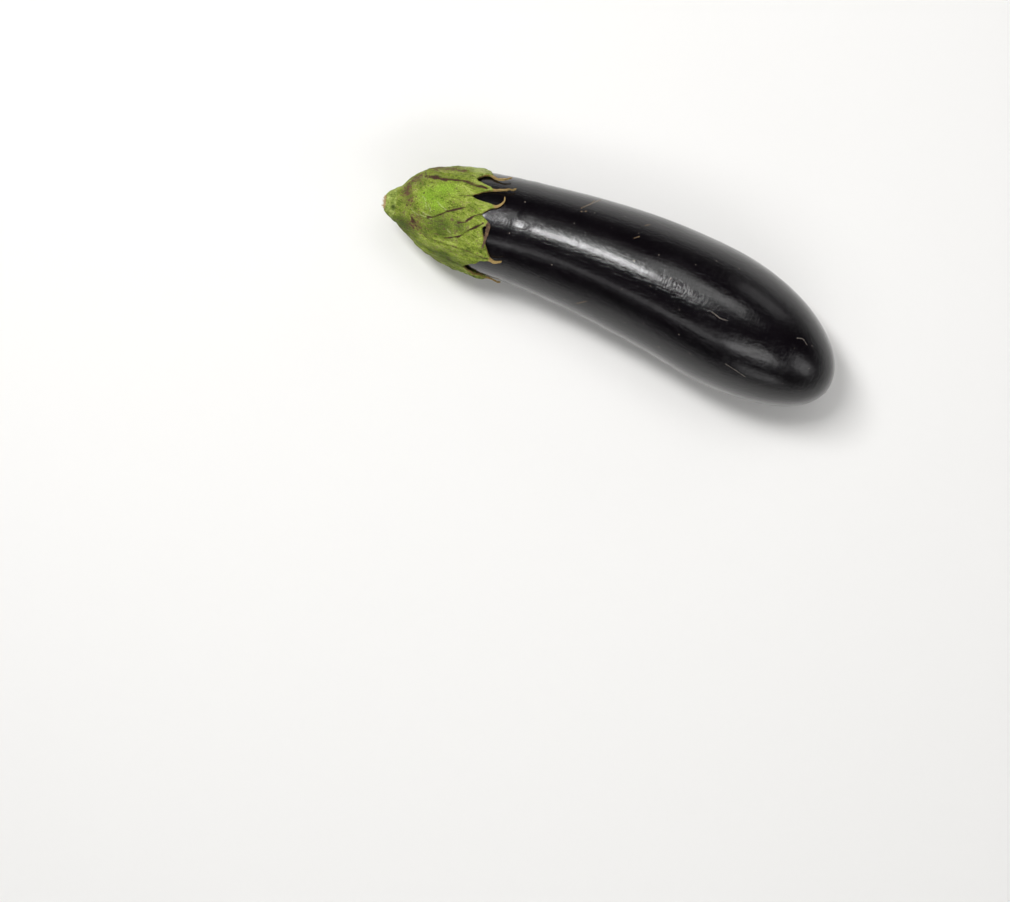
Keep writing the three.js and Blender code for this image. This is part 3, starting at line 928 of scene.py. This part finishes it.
scatter = add(tree, "GeometryNodeDistributePointsOnFaces", {"distribute_method": "POISSON"}, {
    "Mesh": fruit_shape.outputs["Geometry"], "Selection": in_air, "Distance Min": given["Apart"],
    "Density Max": TRIES_PER_SQUARE_METRE, "Seed": given["Seed"]})
size = random_from(tree, given["Smallest"], given["Largest"], 3)
flat = calculate(tree, "MULTIPLY", size, given["Flatness"])
shape = vector(tree, size, size, flat)
flake = add(tree, "GeometryNodeMeshIcoSphere", {}, {"Radius": 1.0, "Subdivisions": 1})
pores = add(tree, "GeometryNodeInstanceOnPoints", {}, {
    "Points": scatter, "Instance": flake, "Rotation": scatter.outputs["Rotation"], "Scale": shape})
end_tree(tree, pores, given["Cork"])

pores = grow("skin_pores", tree, pore_sizes)
hand_in(pores, "skin")

# %% Lay the cork lines
tree, given = shape_tree("Flakes along a line", {
    "Lines": "Geometry", "Fruit": "Object", "Apart": "Float", "Length": "Float", "Width": "Float",
    "Flatness": "Float", "Seed": "Int", "Cork": "Material"})
source = add(tree, "GeometryNodeMeshToCurve", {}, {"Mesh": given["Lines"]})
points = add(tree, "GeometryNodeResampleCurve", {"mode": "LENGTH"}, {
    "Curve": source, "Length": given["Apart"]})
skin_shape = add(tree, "GeometryNodeObjectInfo", {}, {"Object": given["Fruit"]}).outputs["Geometry"]
nearest = add(tree, "GeometryNodeProximity", {"target_element": "FACES"}, {
    "Geometry": skin_shape, "Sample Position": add(tree, "GeometryNodeInputPosition")})
snapped = move(tree, points, Position=nearest.outputs["Position"])
steps = add(tree, "GeometryNodeCurveToPoints", {"mode": "EVALUATED"}, {"Curve": snapped})
facing = add(tree, "GeometryNodeSampleNearestSurface", {"data_type": "FLOAT_VECTOR"}, {
    "Mesh": skin_shape, "Value": add(tree, "GeometryNodeInputNormal"),
    "Sample Position": add(tree, "GeometryNodeInputPosition")})
lengthwise = add(tree, "FunctionNodeAlignRotationToVector", {"axis": "X"}, {
    "Vector": steps.outputs["Tangent"]})
lying = add(tree, "FunctionNodeAlignRotationToVector", {"axis": "Z", "pivot_axis": "X"}, {
    "Rotation": lengthwise, "Vector": facing.outputs["Value"]})
uneven = random_from(tree, 0.45, 1.3, given["Seed"])
size = add(tree, "ShaderNodeCombineXYZ", {}, {
    0: given["Length"], 1: calculate(tree, "MULTIPLY", given["Width"], uneven),
    2: calculate(tree, "MULTIPLY", given["Width"], given["Flatness"])})
flake = add(tree, "GeometryNodeMeshIcoSphere", {}, {"Radius": 1.0, "Subdivisions": 1})
laid = add(tree, "GeometryNodeInstanceOnPoints", {}, {
    "Points": steps, "Instance": flake, "Rotation": lying, "Scale": size})
end_tree(tree, laid, given["Cork"])

tan_cork, _, _ = new_finish("tan_scar_cork", Base_Color=linear("#8a7458"), Roughness=0.8, IOR=1.45)
pale_scratch, _, _ = new_finish(
    "pale_scratch_cork", Base_Color=linear("#958d83"), Roughness=0.7, IOR=1.45)
# Each scar: the (station, angle) points in mm and degrees of its lines, the gap between its flakes, their
# length and width in mm, and its cork.
SCARS = {
    "dotted_scar": ([[(76, 41), (78.7, 51), (79.4, 60)], [(80.4, 59), (81.3, 68)], [(76.5, 36), (78, 38)],
                     [(101.4, 45), (102.4, 48.5)], [(99.8, 26), (101, 29)], [(88, -60), (91, -52)]],
                    0.9, 0.36, 0.26, tan_cork),
    "pale_scratches": ([[(137.9, -5), (141.6, -6.3), (144.4, -4.8)],
                        [(170.9, 20), (172.8, 24), (175.4, 22.5)],
                        [(152.8, -39), (157, -40), (162.6, -42)],
                        [(77.5, 47), (79.8, 56), (80.6, 63)],
                        [(122, -150), (127, -146), (131, -147)], [(88, 150), (97, 154)],
                        [(150, 128), (154, 134), (155, 141)]], 0.34, 0.24, 0.1, pale_scratch),
}


def scar_lines(name, lines):
    """A mesh of bare edges that runs through the points of each line, a little above the skin."""
    places, links = [], []
    for line in lines:
        stations, angles = np.array(line, float).T
        fine = np.linspace(0, len(line) - 1, 8 * len(line))
        station = np.interp(fine, np.arange(len(line)), stations)
        angle = np.radians(np.interp(fine, np.arange(len(line)), angles))
        links += [(len(places) + step, len(places) + step + 1) for step in range(len(fine) - 1)]
        places += in_frame(station, angle, fruit_radius(station)).tolist()
    mesh = bpy.data.meshes.new(name)
    mesh.from_pydata(places, links, [])
    return mesh


for number, (name, (lines, apart, length, width, cork)) in enumerate(SCARS.items()):
    scar = grow(name, tree, {
        "Fruit": fruit, "Apart": apart * MM, "Length": length * MM, "Width": width * MM, "Flatness": 0.35,
        "Seed": 20 + number, "Cork": cork}, scar_lines(name + "_lines", lines))
    hand_in(scar, "skin")

# %% [markdown]
# ## The blossom scar
# The flower was joined to the far end, and left a small corky button in a shallow dimple.

# %% Grow the blossom scar
BUTTON_DEPTH = 0.75
AXIS_SHARE = 2.2
brown_cork, _, _ = two_tone_finish(
    "blossom_scar_cork", (1.1, 1.1, 1.1), 4.0, "#3a2e26", "#857160", Roughness=0.85, IOR=1.45)
# The button faces outward, between the skin's own direction and the axis's.
outward = off_axis(SCAR_STATION, SCAR_ANGLE, 1) - off_axis(SCAR_STATION, SCAR_ANGLE, 0)
outward += AXIS_SHARE * (off_axis(SCAR_STATION, 0.0, 0) - off_axis(SCAR_STATION - 1, 0.0, 0))
outward /= np.linalg.norm(outward)
button_sizes = {
    "Radius": 3.2 * MM, "Thickness": 0.55 * MM, "Roughness": 0.9 * MM,
    "Centre": scar_centre + SHIFT * MM - outward * BUTTON_DEPTH * MM, "Outward": outward,
    "Cork": brown_cork}
tree, given = shape_tree("Corky button", button_sizes)
ball = add(tree, "GeometryNodeMeshIcoSphere", {}, {"Radius": given["Radius"], "Subdivisions": 6})
ball_place = add(tree, "GeometryNodeInputPosition")
lumps = add(tree, "ShaderNodeTexNoise", {}, {"Vector": ball_place, "Scale": 1 / (1.3 * MM), "Detail": 4.0})
height = calculate(tree, "SUBTRACT", lumps, 0.5)
rough_height = calculate(tree, "MULTIPLY", height, given["Roughness"])
push = add(tree, VECTOR_MATH, {"operation": "SCALE"}, {
    0: add(tree, "GeometryNodeInputNormal"), "Scale": rough_height})
lumpy = move(tree, ball, Offset=push)
flat = calculate(tree, "DIVIDE", given["Thickness"], given["Radius"])
lie = add(tree, "FunctionNodeAlignRotationToVector", {"axis": "Z"}, {"Vector": given["Outward"]})
button = add(tree, "GeometryNodeTransform", {}, {
    "Geometry": lumpy, "Translation": given["Centre"], "Rotation": lie,
    "Scale": vector(tree, 1.0, 0.86, flat)})
end_tree(tree, add(tree, "GeometryNodeSetShadeSmooth", {}, {"Geometry": button}), given["Cork"])

scar = grow("blossom_scar", tree, button_sizes)
hand_in(scar, "skin")

# %% [markdown]
# ## Floor, light and camera
# A dark glossy thing shows what it reflects, so the light decides how it looks. The main soft box hangs
# past the stalk's end and draws the bright highlight, and its dim skirt carries that on along the belly.
# Two dim strips on the near side give the second band, panels far out give the ends a soft sheen, and pale
# surroundings give the grey rims. The ceiling lights the floor but isn't mirrored. The floor is matt paper,
# off-white, so that it stays plain and takes soft shadows.

# %% Floor
FLOOR_SIDE = 6
reach = FLOOR_SIDE / 2
sheet = bpy.data.meshes.new("floor")
sheet.from_pydata([(-reach, -reach, 0), (reach, -reach, 0), (reach, reach, 0), (-reach, reach, 0)], [],
                  [(0, 1, 2, 3)])
paper, _, _ = new_finish("matt_white_paper", Base_Color=linear("#e9e8e6"), Roughness=0.9, IOR=1.45)
sheet.materials.append(paper)
floor = put("floor", sheet)
print("A floor", FLOOR_SIDE, "m square")

# %% Lights
# Each box: its place, its width and its depth in metres, and its power in watts. All face the fruit.
SOFT_BOXES = {
    "main_soft_box": ((-0.43, 0.14, 0.95), 0.18, 0.50, 8.2),
    "main_box_skirt": ((0.05, 0.40, 0.95), 0.56, 0.30, 1.5),
    "side_strip_left": ((-0.15, -0.82, 0.95), 0.45, 0.18, 0.5),
    "side_strip_right": ((0.45, -0.6, 0.95), 0.65, 0.22, 1.9),
    "front_panel": ((0.7, -1.4, 0.55), 0.6, 0.4, 1.0),
    "back_panel": ((0.8, 1.7, 0.95), 0.9, 0.7, 2.0),
    "end_panel": ((1.7, -0.2, 1.0), 0.7, 0.7, 3.0),
    "ceiling_panel": ((0, 0, 3), 6, 6, 45),
}
AIM = Vector((0, 0, 0.03))
for name, (place, width, depth, power) in SOFT_BOXES.items():
    lamp = bpy.data.lights.new(name, "AREA")
    lamp.shape, lamp.size, lamp.size_y, lamp.energy = "RECTANGLE", width, depth, power
    box = put(name, lamp)
    box.location = place
    box.rotation_euler = (AIM - Vector(place)).to_track_quat("-Z", "Y").to_euler()
    box.visible_glossy = name != "ceiling_panel"
print("Soft boxes:", ", ".join(f"{name} {power} W" for name, (*_, power) in SOFT_BOXES.items()))

# The room is pale at the horizon, and dark from a little above it.
WALLS, ROOF, ROOF_START = 0.5, 0.02, 0.3
world = bpy.data.worlds.new("pale_room")
bpy.context.scene.world = world
world.use_nodes = True
room = world.node_tree
background = room.nodes["Background"]
facing = add(room, "ShaderNodeSeparateXYZ", {}, {0: add(room, "ShaderNodeTexCoord").outputs["Generated"]})
walls = add(room, "ShaderNodeValToRGB", {}, {"Fac": facing.outputs["Z"]})
walls.color_ramp.elements[0].color = (WALLS, WALLS, WALLS, 1)
walls.color_ramp.elements[1].color = (ROOF, ROOF, ROOF, 1)
walls.color_ramp.elements[1].position = ROOF_START
room.links.new(walls.outputs[0], background.inputs["Color"])

# %% Camera
# The camera looks straight down. Its place is in millimetres from the stalk's cut end, its height in metres.
AHEAD, ASIDE = 83.1, -72.4
HEIGHT = 0.9
TURN = math.radians(23.1)
LENS, SENSOR = 78, 36
camera_data = bpy.data.cameras.new("camera")
camera_data.lens, camera_data.sensor_width = LENS, SENSOR
camera = put("camera", camera_data)
camera.location = ((AHEAD + SHIFT[0]) * MM, (ASIDE + SHIFT[1]) * MM, HEIGHT)
camera.rotation_euler = (0, 0, TURN)
bpy.context.scene.camera = camera
bpy.context.scene.view_settings.view_transform = "Standard"
print("Camera over", [round(value, 3) for value in camera.location], "m")
